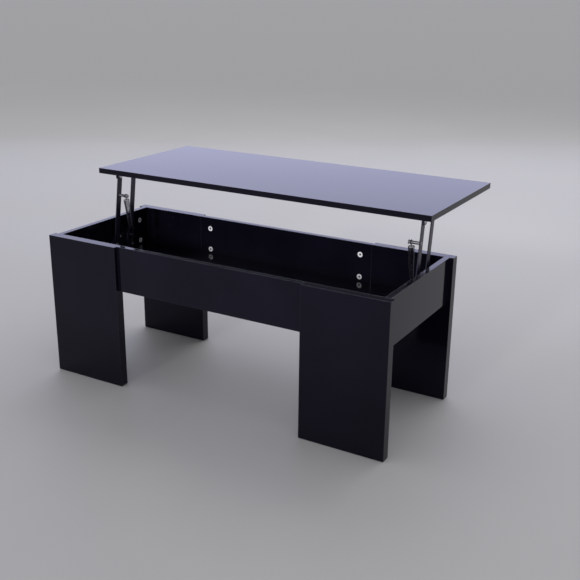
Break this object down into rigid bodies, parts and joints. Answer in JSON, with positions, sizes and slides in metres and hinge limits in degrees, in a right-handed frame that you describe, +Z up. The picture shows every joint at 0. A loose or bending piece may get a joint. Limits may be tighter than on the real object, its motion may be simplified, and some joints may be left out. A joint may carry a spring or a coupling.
{
  "type": "lift top coffee table",
  "caption": "Rectangular coffee table with an open storage box on flat leg panels and a full-size top that swings up and to the rear, staying level, on sprung parallel arms.",
  "frame": {"origin": "on the floor, at the middle of the bounding box as stored, with the top raised and moved to the rear", "axes": "+X along the table to its right, +Y to the rear, the way the top moves as it rises, +Z up"},
  "size_m": [1.02, 0.64, 0.549],
  "materials": {
    "black_board": "satin black melamine",
    "dark_steel": "satin",
    "zinc": "bright zinc",
    "spring_wire": "oiled spring steel",
    "beech": "raw",
    "felt": "felt",
    "buffer_rubber": "matte"
  },
  "bodies": {
    "base": {"leg_front_left": "black_board", "leg_front_right": "black_board", "leg_rear_left": "black_board", "leg_rear_right": "black_board", "apron_front": "black_board", "apron_rear": "black_board", "end_left": "black_board", "end_right": "black_board", "box_floor": "black_board", "cams_front": "zinc", "cams_rear": "zinc", "cams_left": "zinc", "cams_right": "zinc", "cam_bolts": "zinc", "dowels": "beech", "glides": "felt", "base_bracket_left": "dark_steel", "base_bracket_right": "dark_steel", "base_rivets_left": "zinc", "base_rivets_right": "zinc", "base_screws_left": "zinc", "base_screws_right": "zinc"},
    "left_front_arm": {"front_arm_left": "dark_steel", "spring_peg_left": "zinc", "spring_left": "spring_wire"},
    "left_spring_end": {"spring_end_left": "spring_wire"},
    "left_rear_arm": {"rear_arm_left": "dark_steel"},
    "right_front_arm": {"front_arm_right": "dark_steel", "spring_peg_right": "zinc", "spring_right": "spring_wire"},
    "right_spring_end": {"spring_end_right": "spring_wire"},
    "right_rear_arm": {"rear_arm_right": "dark_steel"},
    "lift_top": {"lift_board": "black_board", "top_bracket_left": "dark_steel", "top_bracket_right": "dark_steel", "top_rivets_left": "zinc", "top_rivets_right": "zinc", "top_screws_left": "zinc", "top_screws_right": "zinc", "buffers": "buffer_rubber"}
  },
  "joints": [
    {"name": "lift", "type": "hinge", "parent": "base", "child": "left_front_arm", "pos_m": [-0.4725, -0.0906, 0.3205], "axis": [1, 0, 0], "range_deg": [0, 78.7], "stiffness_Nm_per_rad": 2},
    {"name": "top_level", "type": "hinge", "parent": "left_front_arm", "child": "lift_top", "pos_m": [-0.4725, -0.0606, 0.52127], "axis": [1, 0, 0], "range_deg": [-78.7, 0]},
    {"name": "left_rear_arm_swing", "type": "hinge", "parent": "base", "child": "left_rear_arm", "pos_m": [-0.4725, -0.0286, 0.3205], "axis": [1, 0, 0], "range_deg": [0, 78.7]},
    {"name": "right_front_arm_swing", "type": "hinge", "parent": "base", "child": "right_front_arm", "pos_m": [0.4725, -0.0906, 0.3205], "axis": [1, 0, 0], "range_deg": [0, 78.7]},
    {"name": "right_rear_arm_swing", "type": "hinge", "parent": "base", "child": "right_rear_arm", "pos_m": [0.4725, -0.0286, 0.3205], "axis": [1, 0, 0], "range_deg": [0, 78.7]},
    {"name": "left_spring_stretch", "type": "slide", "parent": "left_front_arm", "child": "left_spring_end", "axis": [0, 0.1489, -0.9889], "range_m": [0, 0.05867], "deforming": ["spring_left", "spring_end_left"]},
    {"name": "right_spring_stretch", "type": "slide", "parent": "right_front_arm", "child": "right_spring_end", "axis": [0, 0.1489, -0.9889], "range_m": [0, 0.05867], "deforming": ["spring_right", "spring_end_right"]}
  ],
  "couplings": [
    {"joint": "top_level", "follows": "lift", "ratio": -1},
    {"joint": "left_rear_arm_swing", "follows": "lift", "ratio": 1},
    {"joint": "right_front_arm_swing", "follows": "lift", "ratio": 1},
    {"joint": "right_rear_arm_swing", "follows": "lift", "ratio": 1},
    {"joint": "left_spring_stretch", "follows": "lift", "m_per_rad": 0.042566},
    {"joint": "right_spring_stretch", "follows": "lift", "m_per_rad": 0.042566}
  ]
}
